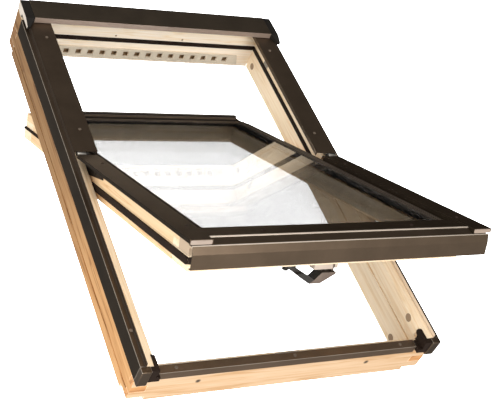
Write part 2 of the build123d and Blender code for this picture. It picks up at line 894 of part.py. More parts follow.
# Ridged profiles that hold the glass along the stiles
profile_low = sash_low + strip_inner - sash_bottom_gap
top_cover_low = sash_high - top_cover_width
lip_bottom = glass_top
lip_tip = rebate_inner - profile_lip
profile_outer = upper_half_width - upper_step - glazing_seal
for side_name, side in sides:
    ridge_profile = [
        (profile_outer, sash_timber_top),
        (profile_outer, profile_top),
        (rebate_inner, profile_top),
        (rebate_inner - 2 * glazing_seal, profile_ridge),
        (rebate_inner - profile_lip / 2, profile_ridge),
        (rebate_inner - profile_lip / 2 - glazing_seal, profile_step),
        (lip_tip + glazing_seal, profile_step),
        (lip_tip, lip_bottom),
        (rebate_inner - glazing_seal, lip_bottom),
        (rebate_inner - glazing_seal, sash_timber_top),
    ]
    with BuildPart(shut) as glazing_profile:
        with BuildSketch(in_sash(across(top_cover_low))):
            Polygon(*mirrored(side, ridge_profile), align=None)
        extrude(amount=top_cover_low - profile_low)
    glazing_profile.part.label = "glazing_profile_" + side_name
    export_step(glazing_profile.part, "parts/glazing_profile_" + side_name + ".step")

# Ridged top cover under the hood's lip
ridge_y = sash_high - top_cover_ridge_in + screw_radius
with BuildPart(shut) as sash_top_cover:
    top_cover_profile = [
        (sash_high, sash_timber_top),
        (sash_high, profile_top),
        (ridge_y, top_cover_ridge),
        (ridge_y - lip_height, top_cover_ridge),
        (ridge_y - lip_height - glazing_seal, profile_ridge),
        (ridge_y - 2 * lip_height, profile_ridge),
        (ridge_y - 2 * lip_height - glazing_seal, profile_step),
        (top_cover_low + glazing_seal, profile_step),
        (top_cover_low, lip_bottom),
        (top_rebate - glazing_seal, lip_bottom),
        (top_rebate - glazing_seal, sash_timber_top),
    ]
    with BuildSketch(in_sash(along(-upper_cover_inner + hinge_plate))):
        Polygon(*top_cover_profile, align=None)
    extrude(amount=2 * (upper_cover_inner - hinge_plate))
sash_top_cover.part.label = "sash_top_cover"
export_step(sash_top_cover.part, "parts/sash_top_cover.step")

# Stepped bottom cover: strip, slope, pale band and front, in one folded sheet
strip_y = y_low + strip_inner
with BuildPart(shut) as sash_bottom_cover:
    front_y = y_low - front_fold
    band_level = front_fold_level - front_band
    bottom_path = [
        (strip_y + strip_lean, lip_bottom),
        (strip_y, strip_level),
        (y_low - strip_ridge, strip_level),
        (front_y, front_fold_level),
        (front_y - front_band_slope, band_level),
        (front_y, front_fold_level - front_height),
        (front_y + front_return, front_fold_level - front_height),
    ]
    with BuildSketch(in_sash(along(-strip_half_width))):
        Polygon(*folded(bottom_path, thin_sheet), align=None)
    extrude(amount=2 * strip_half_width)
    front_path = bottom_path[3:]
    with BuildSketch(in_sash(along(-front_half_width))):
        Polygon(*folded(front_path, thin_sheet), align=None)
    extrude(amount=2 * front_half_width)
    # ledges under the ends of the side covers
    for side_name, side in sides:
        ledge = sided(
            side,
            (strip_half_width, front_y, front_fold_level - thin_sheet),
            (front_half_width, front_y + front_shelf, front_fold_level),
        )
        block(*ledge)
    # rolled beads along the two upper folds
    for y, z, half_length in (
        (y_low - strip_ridge, strip_level - strip_bead_sink, strip_half_width),
        (front_y + strip_bead, front_fold_level - strip_bead_sink, front_half_width),
    ):
        with Locations((0, y, z)):
            Cylinder(strip_bead, 2 * half_length, rotation=(0, 90, 0))
sash_bottom_cover.part.label = "sash_bottom_cover"
export_step(sash_bottom_cover.part, "parts/sash_bottom_cover.step")

for side_name, side in sides:
    # Corner block at the sash's bottom, flush with the stile
    with BuildPart(shut) as bottom_end_block:
        block_front = y_low - end_block_front
        corner = sided(
            side,
            (strip_half_width + end_block_proud, block_front, end_block_nose_low),
            (sash_half_width + end_block_proud, sash_low, sash_timber_top),
        )
        block(*corner)
        cheek = sided(
            side,
            (sash_half_width, sash_low, end_block_low),
            (sash_half_width + end_block_proud, block_front + end_block_length, sash_timber_top),
        )
        block(*cheek)
        facing = sided(
            side,
            (strip_half_width + end_block_proud, sash_low - end_block_proud, end_block_low),
            (sash_half_width + end_block_proud, sash_low, sash_timber_top),
        )
        block(*facing)
    bottom_end_block.part.label = "bottom_end_block_" + side_name
    export_step(bottom_end_block.part, "parts/bottom_end_block_" + side_name + ".step")

    # Channel cover over the side gap of the lower half, resting on the glazing profile
    cover_low = y_low - lower_cover_overhang
    cover_high = pivot_up - lower_cover_pivot_gap
    lower_path = [
        (lower_cover_outer, cover_top - lower_cover_lip),
        (lower_cover_outer, cover_top),
        (lower_cover_inner, cover_top),
        (lower_cover_inner, profile_top),
    ]
    with BuildPart(shut) as lower_side_cover:
        with BuildSketch(in_sash(across(cover_high))):
            Polygon(*mirrored(side, folded(lower_path, thin_sheet)), align=None)
        extrude(amount=cover_high - cover_low)
    lower_side_cover.part.label = "lower_side_cover_" + side_name
    export_step(lower_side_cover.part, "parts/lower_side_cover_" + side_name + ".step")

    # Pale plug in the cover's lower end
    plug_top = cover_top - thin_sheet
    sash_slope = Axis((0, 0, 0), shut.y_dir)
    with BuildPart(shut) as lower_cover_end:
        plug = sided(
            side,
            (lower_cover_inner + thin_sheet, cover_low + cover_end_recess, plug_top - cover_end_height),
            (lower_cover_outer - thin_sheet, cover_low + cover_end_length, plug_top),
        )
        block(*plug)
        fillet(lower_cover_end.edges().filter_by(sash_slope), radius=cover_end_round)
    lower_cover_end.part.label = "lower_cover_end_" + side_name
    export_step(lower_cover_end.part, "parts/lower_cover_end_" + side_name + ".step")

    # Seal on the lower half of the stile's outer face
    with BuildPart(shut) as sash_gasket:
        strip = sided(
            side,
            (sash_half_width, sash_low, sash_gasket_level),
            (
                sash_half_width + sash_gasket_proud,
                pivot_up - gasket_pivot_gap,
                sash_gasket_level + sash_gasket_height,
            ),
        )
        block(*strip)
    sash_gasket.part.label = "sash_gasket_" + side_name
    export_step(sash_gasket.part, "parts/sash_gasket_" + side_name + ".step")

    # Sash side of the pivot: a plate on the stile with an ear and the pin
    plate_outer = sash_half_width + hinge_plate
    pin_end = jamb_inner + barrel_length
    with BuildPart(shut) as sash_hinge:
        plate = sided(
            side,
            (sash_half_width, pivot_up - hinge_plate_width / 2, hinge_plate_low),
            (plate_outer, pivot_up + hinge_plate_width / 2, hinge_plate_high),
        )
        block(*plate)
        ear = sided(
            side,
            (sash_half_width, pivot_up - hinge_neck / 2, hinge_plate_high),
            (plate_outer, pivot_up + hinge_neck / 2, pivot_out),
        )
        block(*ear)
        tail_start = pivot_up - hinge_plate_width / 2
        tail_end = tail_start - hinge_tail_length
        tail = [
            (tail_start, hinge_plate_high),
            (tail_end, hinge_plate_high - hinge_tail_drop + hinge_tail_tip),
            (tail_end, hinge_plate_high - hinge_tail_drop),
            (tail_start, hinge_plate_high - hinge_tail_root),
        ]
        with BuildSketch(in_sash(along(side * sash_half_width))):
            Polygon(*tail, align=None)
        extrude(amount=side * hinge_plate)
        bolt_x = side * (plate_outer + hinge_bolt_height / 2)
        bolt_z = hinge_plate_high - hinge_tail_drop + hinge_tail_tip / 2
        for y in (tail_end + hinge_tail_tip, (tail_start + tail_end) / 2):
            with Locations((bolt_x, y, bolt_z)):
                Cylinder(hinge_bolt_radius, hinge_bolt_height, rotation=(0, 90, 0))
        with Locations((side * (sash_half_width + plate_outer) / 2, pivot_up, pivot_out)):
            Cylinder(hinge_neck / 2, hinge_plate, rotation=(0, 90, 0))
        with Locations((side * (sash_half_width + pin_end) / 2, pivot_up, pivot_out)):
            Cylinder(pin_radius, pin_end - sash_half_width, rotation=(0, 90, 0))
    sash_hinge.part.label = "sash_hinge_" + side_name
    export_step(sash_hinge.part, "parts/sash_hinge_" + side_name + ".step")

with BuildPart(shut) as sash_gasket_bottom:
    block(
        (-sash_half_width, sash_low - gasket_proud, sash_gasket_level),
        (sash_half_width, sash_low, sash_gasket_level + sash_gasket_height),
    )
sash_gasket_bottom.part.label = "sash_gasket_bottom"
export_step(sash_gasket_bottom.part, "parts/sash_gasket_bottom.step")

# Lock: base plate on the bottom rail's room face, two lugs with the handle's pin, and the case
lug_bottom = sash_room_level - lug_height
plate_face = sash_room_level - lock_plate_thickness
with BuildPart(shut) as lock_body:
    block(
        (lock_plate_left, handle_y - lock_plate_depth / 2, plate_face),
        (lock_plate_right, handle_y + lock_plate_depth / 2, sash_room_level),
    )
    for x0 in (lock_plate_left, lock_plate_right - lug_width):
        block(
            (x0, handle_y - lug_depth / 2, lug_bottom),
            (x0 + lug_width, handle_y + lug_depth / 2, plate_face),
        )
    block(
        (lock_case_left, handle_y - lock_case_depth / 2, plate_face - lock_case_height),
        (lock_case_right, handle_y + lock_case_depth / 2, plate_face),
    )
    for x0, way in ((lock_plate_left + lug_width, 1), (lock_plate_right - lug_width, -1)):
        stub = lug_gap + handle_eye_width
        with Locations((x0 + way * stub / 2, handle_y, handle_axis_z)):
            Cylinder(handle_pin_radius, stub, rotation=(0, 90, 0))
lock_body.part.label = "lock_body"
export_step(lock_body.part, "parts/lock_body.step")

# Handle: a moulded V grip hung between two eyes
eye_left = lock_plate_left + lug_width + lug_gap
eye_right = lock_plate_right - lug_width - lug_gap
foot_z = handle_axis_z - handle_drop
shoulder_z = handle_axis_z - handle_shoulder_drop
with BuildPart(shut) as handle:
    grip = [
        (eye_left, handle_axis_z),
        (handle_foot_left, foot_z),
        (handle_foot_right, foot_z),
        (eye_right, handle_axis_z - handle_elbow_drop),
        (eye_right, handle_axis_z),
        (eye_right - handle_eye_width, handle_axis_z),
        (eye_right - handle_eye_width, shoulder_z),
        (handle_shoulder_x, shoulder_z),
        (handle_crotch_x, foot_z + handle_crotch_up),
        (eye_left + handle_arm_width, handle_axis_z),
    ]
    with BuildSketch(in_sash(across(handle_y + strap_width / 2))):
        Polygon(*grip, align=None)
    extrude(amount=strap_width)
    # the arms narrow to the eyes above the shoulder
    for way in (1, -1):
        relief = [handle_y + way * handle_eye_radius, handle_y + way * strap_width]
        block(
            (eye_left, min(relief), shoulder_z),
            (eye_right, max(relief), handle_axis_z + handle_eye_radius),
            mode=Mode.SUBTRACT,
        )
    for x0, length in ((eye_left, handle_arm_width), (eye_right - handle_eye_width, handle_eye_width)):
        with Locations((x0 + length / 2, handle_y, handle_axis_z)):
            Cylinder(handle_eye_radius, length, rotation=(0, 90, 0))
            Cylinder(
                handle_pin_radius + pin_clearance,
                length + strap_width,
                rotation=(0, 90, 0),
                mode=Mode.SUBTRACT,
            )
handle.part.label = "handle"
export_step(handle.part, "parts/handle.step")

# Screw heads in the sash's covers
strip_screw_x = jamb_inner / 2 + lip_height
strip_screw_y = (strip_y + y_low - strip_ridge) / 2
lower_screw_spots = []
for side_name, side in sides:
    lower_screw_spots.append((side * cover_screw_x, cover_low + 2 * lip_notch + screw_radius))
    lower_screw_spots.append((side * cover_screw_x, cover_high - 2 * lip_notch))
sash_screw_levels = (
    (strip_level, [(-strip_screw_x, strip_screw_y), (strip_screw_x, strip_screw_y)]),
    (cover_top, lower_screw_spots),
)
with BuildPart(shut) as sash_screws:
    for level, spots in sash_screw_levels:
        with BuildSketch(in_sash(Plane.XY.offset(level))):
            with Locations(*spots):
                RegularPolygon(screw_radius, screw_sides)
        extrude(amount=screw_height)
        with BuildSketch(in_sash(Plane.XY.offset(level + screw_height))):
            with Locations(*spots):
                RegularPolygon(screw_socket_radius, screw_socket_sides)
        extrude(amount=-screw_socket_depth, mode=Mode.SUBTRACT)
sash_screws.part.label = "sash_screws"
export_step(sash_screws.part, "parts/sash_screws.step")
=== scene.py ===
"""Dresses the centre-pivot roof window: timber, coated covers, seals, glass, light and camera."""

import json
import math

import bmesh
import bpy
from mathutils import Matrix, Vector


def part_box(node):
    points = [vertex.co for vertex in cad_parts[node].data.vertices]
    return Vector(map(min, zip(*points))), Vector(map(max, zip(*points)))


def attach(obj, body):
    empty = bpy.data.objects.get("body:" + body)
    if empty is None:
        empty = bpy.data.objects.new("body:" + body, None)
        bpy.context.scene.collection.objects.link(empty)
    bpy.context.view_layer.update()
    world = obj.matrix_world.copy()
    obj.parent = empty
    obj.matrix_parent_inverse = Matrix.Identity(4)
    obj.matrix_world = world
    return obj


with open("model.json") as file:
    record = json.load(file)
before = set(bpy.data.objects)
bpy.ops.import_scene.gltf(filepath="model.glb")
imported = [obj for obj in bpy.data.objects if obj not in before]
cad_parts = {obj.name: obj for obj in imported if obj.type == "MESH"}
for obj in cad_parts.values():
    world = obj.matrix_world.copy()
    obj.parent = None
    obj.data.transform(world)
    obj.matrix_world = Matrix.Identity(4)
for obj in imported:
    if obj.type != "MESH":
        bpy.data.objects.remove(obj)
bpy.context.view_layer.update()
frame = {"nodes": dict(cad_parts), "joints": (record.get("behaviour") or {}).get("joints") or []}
NODES = frame["nodes"]

# The sash stands open at rest: these turn its shut places to the open ones and back.
PIVOT_JOINT = next(joint for joint in frame["joints"] if joint["name"] == "sash_pivot")
PIVOT = Vector(PIVOT_JOINT["pos_m"])
OPEN_ANGLE = math.radians(-PIVOT_JOINT["range_deg"][0])
SHUT_TO_OPEN = (
    Matrix.Translation(PIVOT) @ Matrix.Rotation(-OPEN_ANGLE, 4, "X") @ Matrix.Translation(-PIVOT)
)
OPEN_TO_SHUT = SHUT_TO_OPEN.inverted()
DOWN_SLOPE = SHUT_TO_OPEN.to_3x3() @ Vector((0.0, -1.0, 0.0))


# Shader helpers
def srgb(r, g, b):
    """Linear colour with alpha from 8-bit display values."""
    out = []
    for c in (r, g, b):
        c = c / 255.0
        out.append(c / 12.92 if c <= 0.04045 else ((c + 0.055) / 1.055) ** 2.4)
    return (out[0], out[1], out[2], 1.0)


def grey(level):
    return (level, level, level, 1.0)


def greys(stops):
    """Stops of a colour ramp from pairs of place and brightness."""
    return [(place, grey(level)) for place, level in stops]


WHITE = grey(1.0)


def new_material(name):
    mat = bpy.data.materials.new(name)
    mat.use_nodes = True
    tree = mat.node_tree
    return mat, tree, tree.nodes["Principled BSDF"]


def link(tree, a, b):
    tree.links.new(a, b)


def set_inputs(shader, values):
    for socket, value in values.items():
        shader.inputs[socket].default_value = value


def object_place(tree):
    """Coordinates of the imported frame, in metres."""
    return tree.nodes.new("ShaderNodeTexCoord").outputs["Object"]


def object_axis(tree, axis):
    axes = tree.nodes.new("ShaderNodeSeparateXYZ")
    link(tree, object_place(tree), axes.inputs["Vector"])
    return axes.outputs[axis]


def coordinates(tree, scale, turn=0.0):
    """Object coordinates scaled along each axis, turned about X for pieces of the open sash."""
    source = object_place(tree)
    if turn:
        turned = tree.nodes.new("ShaderNodeMapping")
        turned.inputs["Rotation"].default_value = (turn, 0.0, 0.0)
        link(tree, source, turned.inputs["Vector"])
        source = turned.outputs["Vector"]
    scaled = tree.nodes.new("ShaderNodeMapping")
    scaled.inputs["Scale"].default_value = scale
    link(tree, source, scaled.inputs["Vector"])
    return scaled.outputs["Vector"]


def noise(tree, vector, scale, detail, distortion=0.0):
    tex = tree.nodes.new("ShaderNodeTexNoise")
    set_inputs(tex, {"Scale": scale, "Detail": detail, "Distortion": distortion})
    link(tree, vector, tex.inputs["Vector"])
    return tex.outputs["Fac"]


def ramp(tree, value, stops):
    node = tree.nodes.new("ShaderNodeValToRGB")
    elements = node.color_ramp.elements
    while len(elements) > 1:
        elements.remove(elements[-1])
    elements[0].position, elements[0].color = stops[0]
    for position, color in stops[1:]:
        elements.new(position).color = color
    link(tree, value, node.inputs["Fac"])
    return node.outputs["Color"]


def darken(tree, color, shade, strength=1.0):
    """Multiplies one colour by another."""
    node = tree.nodes.new("ShaderNodeMix")
    node.data_type = "RGBA"
    node.blend_type = "MULTIPLY"
    node.inputs["Factor"].default_value = strength
    link(tree, color, node.inputs["A"])
    link(tree, shade, node.inputs["B"])
    return node.outputs["Result"]


# Pine: tones as pale, middle and dark band, with the grain along X or along Y
PINE_TONES = {
    "inner": ((252, 231, 200), (249, 224, 189), (241, 212, 171)),
    "stile": ((240, 208, 166), (234, 198, 152), (220, 178, 128)),
    "cross": ((255, 240, 220), (254, 236, 210), (246, 222, 186)),
    "outer": ((210, 162, 109), (190, 138, 84), (150, 103, 55)),
    "front": ((214, 182, 147), (207, 171, 132), (193, 151, 107)),
    "end": ((214, 160, 106), (196, 140, 88), (160, 106, 62)),
    # Painted shade: the reveal tone is a darker pine for the sash's faces beside the glass.
    "reveal": ((205, 188, 162), (202, 180, 150), (192, 166, 130)),
    # Painted shade: the deep tone is a darker pine for the inside of the head's recesses.
    "deep": ((160, 132, 100), (152, 124, 92), (138, 110, 78)),
}
BAND_STRETCH = {"X": (1.6, 30.0, 30.0), "Y": (30.0, 1.6, 30.0)}
BAND_SCALE = 2.2
BAND_DETAIL = 3.0
BAND_WAVER = 0.7
BAND_STOPS = (0.30, 0.44, 0.55, 0.60, 0.66)
FIBRE_STRETCH = {"X": (6.0, 260.0, 260.0), "Y": (260.0, 6.0, 260.0)}
FIBRE_SCALE = 1.0
FIBRE_DETAIL = 2.0
FIBRE_STRENGTH = 0.55
FIBRE_SHADES = [(0.35, (0.88, 0.85, 0.80, 1.0)), (0.65, WHITE)]
PINE_ROUGHNESS = 0.42
PINE_SPECULAR = 0.35
PINE_BUMP = 0.05
PINE_BUMP_DEPTH = 0.0005
# Two nails in the sill's front, and their shades by the distance from the middle
SILL_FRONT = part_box("frame_sill")[0].y
NAIL_PLACES = ((-0.231, SILL_FRONT, 0.0516), (0.217, SILL_FRONT, 0.0527))
NAIL_SHADES = greys([(0.0036, 0.02), (0.0052, 1.0)])
# Painted shade: brightness of the outer timber by its height up the slope, from -UP_REACH to
# UP_REACH
UP_REACH = 0.6
UP_PAINTED_SHADES = greys([(0.05, 1.0), (0.25, 0.92), (0.42, 0.66), (0.60, 0.50), (0.90, 0.44)])


def nail_marks(tree, color):
    """Dark nail heads sunk in the timber."""
    source = object_place(tree)
    for place in NAIL_PLACES:
        away = tree.nodes.new("ShaderNodeVectorMath")
        away.operation = "DISTANCE"
        away.inputs[1].default_value = place
        link(tree, source, away.inputs[0])
        color = darken(tree, color, ramp(tree, away.outputs["Value"], NAIL_SHADES))
    return color


def paint_shade_up(tree, color):
    """Painted shade: darkens the timber towards the window's head."""
    height = tree.nodes.new("ShaderNodeMapRange")
    set_inputs(height, {"From Min": -UP_REACH, "From Max": UP_REACH})
    link(tree, object_axis(tree, "Y"), height.inputs["Value"])
    return darken(tree, color, ramp(tree, height.outputs["Result"], UP_PAINTED_SHADES))


def pine(name, grain, tone, turn=0.0, nailed=False, painted_shade_up=False):
    """Planed pine with growth bands and fine fibres."""
    mat, tree, shader = new_material(name)
    pale, mid, dark = (srgb(*color) for color in PINE_TONES[tone])
    bands = noise(
        tree, coordinates(tree, BAND_STRETCH[grain], turn), BAND_SCALE, BAND_DETAIL, BAND_WAVER
    )
    color = ramp(tree, bands, list(zip(BAND_STOPS, (mid, pale, mid, dark, pale))))
    fibres = noise(tree, coordinates(tree, FIBRE_STRETCH[grain], turn), FIBRE_SCALE, FIBRE_DETAIL)
    color = darken(tree, color, ramp(tree, fibres, FIBRE_SHADES), FIBRE_STRENGTH)
    if nailed:
        color = nail_marks(tree, color)
    # Painted shade, darker up the slope
    if painted_shade_up:
        color = paint_shade_up(tree, color)
    link(tree, color, shader.inputs["Base Color"])
    set_inputs(shader, {"Roughness": PINE_ROUGHNESS, "Specular IOR Level": PINE_SPECULAR})
    bump = tree.nodes.new("ShaderNodeBump")
    set_inputs(bump, {"Strength": PINE_BUMP, "Distance": PINE_BUMP_DEPTH})
    link(tree, fibres, bump.inputs["Height"])
    link(tree, bump.outputs["Normal"], shader.inputs["Normal"])
    return mat


PINE_JAMB = pine("pine_jamb", "Y", "inner")
# The outer jamb faces and the end grain carry painted shade up the slope.
PINE_JAMB_OUT = pine("pine_jamb_outer", "Y", "outer", painted_shade_up=True)
PINE_CROSS = pine("pine_cross", "X", "cross")
PINE_CROSS_OUT = pine("pine_cross_outer", "X", "front", nailed=True)
PINE_END = pine("pine_end", "X", "end", painted_shade_up=True)
# Painted shade inside the head's recesses
PINE_RECESS_SHADE = pine("pine_recess_shade", "X", "deep")
PINE_STILE = pine("pine_stile", "Y", "stile", OPEN_ANGLE)
PINE_RAIL = pine("pine_rail", "X", "inner", OPEN_ANGLE)
# Painted shade on the sash's faces beside the glass
STILE_REVEAL_SHADE = pine("pine_stile_reveal_shade", "Y", "reveal", OPEN_ANGLE)
RAIL_REVEAL_SHADE = pine("pine_rail_reveal_shade", "X", "reveal", OPEN_ANGLE)


# Painted, moulded and plated surfaces
EVEN = (1.0, 1.0, 1.0)
CLOUD_SCALE = 14.0
CLOUD_DETAIL = 5.0
CLOUD_LOW = 0.35
CLOUD_HIGH = 0.65
SPECKLE_SCALE = 420.0
SPECKLE_DETAIL = 2.0
GLOSS_SPREAD = 0.05
# Painted highlight: the side cladding's outer fold, paler than its other folds
CLADDING_LOW, CLADDING_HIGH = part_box("side_cladding_right")
RIDGE_WIDTH = 0.004
RIDGE_BLEND = 0.002
RIDGE_FULL = CLADDING_HIGH.x - RIDGE_WIDTH
RIDGE_START = RIDGE_FULL - RIDGE_BLEND
RIDGE_CLOUD = greys([(CLOUD_LOW, 0.88), (CLOUD_HIGH, 1.0)])
RIDGE_ROUGHNESS = 0.38
RIDGE_METALLIC = 0.2
GLASS_TONE = 0.77
GLASS_IOR = 1.5


def clouds(tree, stops):
    return ramp(tree, noise(tree, coordinates(tree, EVEN), CLOUD_SCALE, CLOUD_DETAIL), stops)


def coated(name, low, high, roughness, specular=0.5, metallic=0.0):
    """A coat with a faint cloud in its tone, from low to high, and a speckle in its gloss."""
    mat, tree, shader = new_material(name)
    tone = clouds(tree, [(CLOUD_LOW, srgb(*low)), (CLOUD_HIGH, srgb(*high))])
    link(tree, tone, shader.inputs["Base Color"])
    gloss = tree.nodes.new("ShaderNodeMapRange")
    set_inputs(gloss, {"To Min": roughness - GLOSS_SPREAD, "To Max": roughness + GLOSS_SPREAD})
    speckle = noise(tree, coordinates(tree, EVEN), SPECKLE_SCALE, SPECKLE_DETAIL)
    link(tree, speckle, gloss.inputs["Value"])
    link(tree, gloss.outputs["Result"], shader.inputs["Roughness"])
    set_inputs(shader, {"Specular IOR Level": specular, "Metallic": metallic})
    return mat


def ridge_highlight_coat(name, inner, outer):
    """A coat with a painted highlight: it turns paler at the outer fold on either side."""
    mat, tree, shader = new_material(name)
    away = tree.nodes.new("ShaderNodeMath")
    away.operation = "ABSOLUTE"
    link(tree, object_axis(tree, "X"), away.inputs[0])
    stops = [(RIDGE_START, srgb(*inner)), (RIDGE_FULL, srgb(*outer))]
    tone = darken(tree, ramp(tree, away.outputs["Value"], stops), clouds(tree, RIDGE_CLOUD))
    link(tree, tone, shader.inputs["Base Color"])
    set_inputs(shader, {"Roughness": RIDGE_ROUGHNESS, "Metallic": RIDGE_METALLIC})
    return mat


def clear_glass(name):
    mat, _, shader = new_material(name)
    set_inputs(shader, {
        "Base Color": grey(GLASS_TONE),
        "Roughness": 0.0,
        "IOR": GLASS_IOR,
        "Transmission Weight": 1.0,
    })
    return mat


COVER = coated(
    "cover_brown", (84, 70, 56), (92, 77, 62), roughness=0.36, specular=0.4, metallic=0.85
)
# Painted light: a paler copy of the brown coat for the sill cladding
SILL_COVER_LIT = coated(
    "sill_cover_lit", (108, 89, 71), (116, 96, 77), roughness=0.36, specular=0.4, metallic=0.75
)
# Painted highlight on the bottom cover's beads
COVER_BEAD_HIGHLIGHT = coated("cover_bead_highlight", (178, 164, 148), (190, 176, 160), roughness=0.34, metallic=0.2)
# Painted highlights on rounded edges of the sheet and the profiles
COVER_FOLD_HIGHLIGHT = coated(
    "cover_fold_highlight", (138, 126, 112), (150, 138, 124), roughness=0.36, specular=0.4, metallic=0.2
)
# Painted highlight along the side cladding's outer fold
CLADDING_FOLD_HIGHLIGHT = ridge_highlight_coat("cladding_fold_highlight", (58, 48, 39), (150, 138, 124))
# Painted shade: a darker copy of the brown coat for the sideways faces of the side covers and the
# cladding's leg
COVER_SIDE_SHADE = coated(
    "cover_side_shade", (37, 30, 22), (43, 35, 26), roughness=0.46, specular=0.05, metallic=0.3
)
PROFILE = coated("profile_black", (30, 25, 20), (37, 31, 25), roughness=0.46, specular=0.1)
PROFILE_EDGE_HIGHLIGHT = coated("profile_edge_highlight", (112, 96, 80), (124, 107, 90), roughness=0.40, specular=0.3)
GLAZING = coated("glazing_brown", (42, 36, 30), (50, 43, 36), roughness=0.46, specular=0.1)
GLAZING_EDGE_HIGHLIGHT = coated("glazing_edge_highlight", (66, 57, 48), (76, 66, 56), roughness=0.42, specular=0.2)
HOOD = coated("hood_brown", (74, 64, 52), (82, 71, 58), roughness=0.38, specular=0.4, metallic=0.8)
# Painted highlight along the hood's front edge
HOOD_LIP_HIGHLIGHT = coated(
    "hood_lip_highlight", (138, 120, 106), (150, 131, 117), roughness=0.42, specular=0.4, metallic=0.2
)
SEAL = coated("black_seal", (32, 23, 17), (40, 29, 22), roughness=0.60, specular=0.1)
BLACK = coated("black_plastic", (24, 21, 18), (31, 27, 23), roughness=0.46, specular=0.2)
PALE = coated("pale_plastic", (184, 161, 134), (194, 171, 144), roughness=0.45)
COVER_PLUG = coated("cover_plug", (148, 130, 115), (158, 140, 125), roughness=0.42)
GREY = coated("grey_plastic", (206, 192, 170), (214, 200, 178), roughness=0.40)
# Painted light: a paler coat on the side walls of the vent's holes
VENT_WALL_LIT = coated("vent_wall_lit", (240, 214, 182), (246, 222, 192), roughness=0.45)
PLUG = coated("beige_plastic", (150, 122, 92), (164, 136, 104), roughness=0.45)
ZINC = coated("zinc_steel", (132, 127, 119), (150, 145, 137), roughness=0.30, metallic=1.0)
STRIKE = coated(
    "strike_steel", (116, 108, 98), (130, 121, 110), roughness=0.40, specular=0.4, metallic=0.3
)
HINGE = coated("black_hinge", (30, 26, 22), (38, 33, 28), roughness=0.40, specular=0.25)
KEEPER = coated("keeper_grey", (150, 140, 126), (164, 154, 140), roughness=0.40, metallic=0.4)
SCREW = coated("screw_brown", (120, 106, 92), (138, 123, 108), roughness=0.34, metallic=0.5)
SASH_SCREW = coated("screw_dark", (46, 34, 27), (56, 42, 34), roughness=0.40, specular=0.4)
UPSTAND = coated("upstand_pale", (222, 200, 174), (232, 211, 186), roughness=0.45)
CAP_SIDE = coated("cap_side", (196, 184, 170), (208, 197, 184), roughness=0.45)
SPACER = coated(
    "spacer_aluminium", (44, 39, 34), (52, 47, 41), roughness=0.45, specular=0.2, metallic=0.3
)
GRIP = coated("handle_metal", (38, 33, 28), (46, 41, 35), roughness=0.36, specular=0.4)
# Painted highlight on the front of the grip's right arm
GRIP_FACE_HIGHLIGHT = coated("handle_face_highlight", (102, 88, 77), (116, 101, 89), roughness=0.34, metallic=0.3)
LOCK = coated("lock_grey", (178, 163, 149), (190, 175, 161), roughness=0.40)
GLASS = clear_glass("clear_glass")


# Finish and rounding of every piece, by the start of its name
WELD_REACH = 0.00001
ROUNDING_STEPS = 2
SHARP_ANGLE = math.radians(35.0)
NO_EDGE = 0.0
TIMBER_EDGE = 0.0012
SHEET_EDGE = 0.0007
CORNER_SEAL_EDGE = 0.0012
GASKET_EDGE = 0.0006
SEAL_LIP_EDGE = 0.0004
MOULDED_EDGE = 0.0006
LOCK_EDGE = 0.0008
VENT_EDGE = 0.0004
HINGE_EDGE = 0.0004
PLATE_EDGE = 0.0003
SCREW_EDGE = 0.0002
PIECE_FINISH = (
    ("frame_jamb", PINE_JAMB, TIMBER_EDGE),
    ("frame_head", PINE_CROSS, TIMBER_EDGE),
    ("frame_sill", PINE_CROSS, TIMBER_EDGE),
    ("sash_stile", PINE_STILE, TIMBER_EDGE),
    ("sash_top_rail", PINE_RAIL, TIMBER_EDGE),
    ("sash_bottom_rail", PINE_RAIL, TIMBER_EDGE),
    ("head_hood", HOOD, SHEET_EDGE),
    ("hood_end_cap", BLACK, SHEET_EDGE),
    ("sill_corner_seal", SEAL, CORNER_SEAL_EDGE),
    ("frame_gasket", SEAL, GASKET_EDGE),
    ("sash_gasket", SEAL, GASKET_EDGE),
    ("outer_pane", GLASS, NO_EDGE),
    ("inner_pane", GLASS, NO_EDGE),
    ("spacer", SPACER, NO_EDGE),
    ("bottom_end_block", PALE, MOULDED_EDGE),
    ("lower_cover_end", COVER_PLUG, MOULDED_EDGE),
    ("vent_strip", GREY, VENT_EDGE),
    ("jamb_plugs", PLUG, NO_EDGE),
    ("handle", GRIP, MOULDED_EDGE),
    ("lock_body", LOCK, LOCK_EDGE),
    ("frame_hinge", ZINC, HINGE_EDGE),
    ("sash_hinge", HINGE, HINGE_EDGE),
    ("jamb_keepers", KEEPER, PLATE_EDGE),
    ("strike_plate", STRIKE, PLATE_EDGE),
    ("frame_screws", SCREW, SCREW_EDGE),
    ("sash_screws", SASH_SCREW, SCREW_EDGE),
    ("glazing_profile", GLAZING, SHEET_EDGE),
    ("sash_top_cover", PROFILE, SHEET_EDGE),
    ("sill_cladding", SILL_COVER_LIT, SHEET_EDGE),
    ("", COVER, SHEET_EDGE),
)
# Painted highlights: the rounded edges of the sheet and the profiles are coloured paler than the
# faces between them, for the light that they catch.
EDGE_HIGHLIGHTS = (
    ("side_cladding", CLADDING_FOLD_HIGHLIGHT),
    ("sill_cladding", COVER_FOLD_HIGHLIGHT),
    ("cladding_end_cap", COVER_FOLD_HIGHLIGHT),
    ("glazing_profile", GLAZING_EDGE_HIGHLIGHT),
    ("sash_top_cover", PROFILE_EDGE_HIGHLIGHT),
)


def paint(obj, material):
    obj.data.materials.clear()
    obj.data.materials.append(material)


def add_slot(obj, material):
    """Adds a material to a piece and returns its slot."""
    obj.data.materials.append(material)
    return len(obj.data.materials) - 1


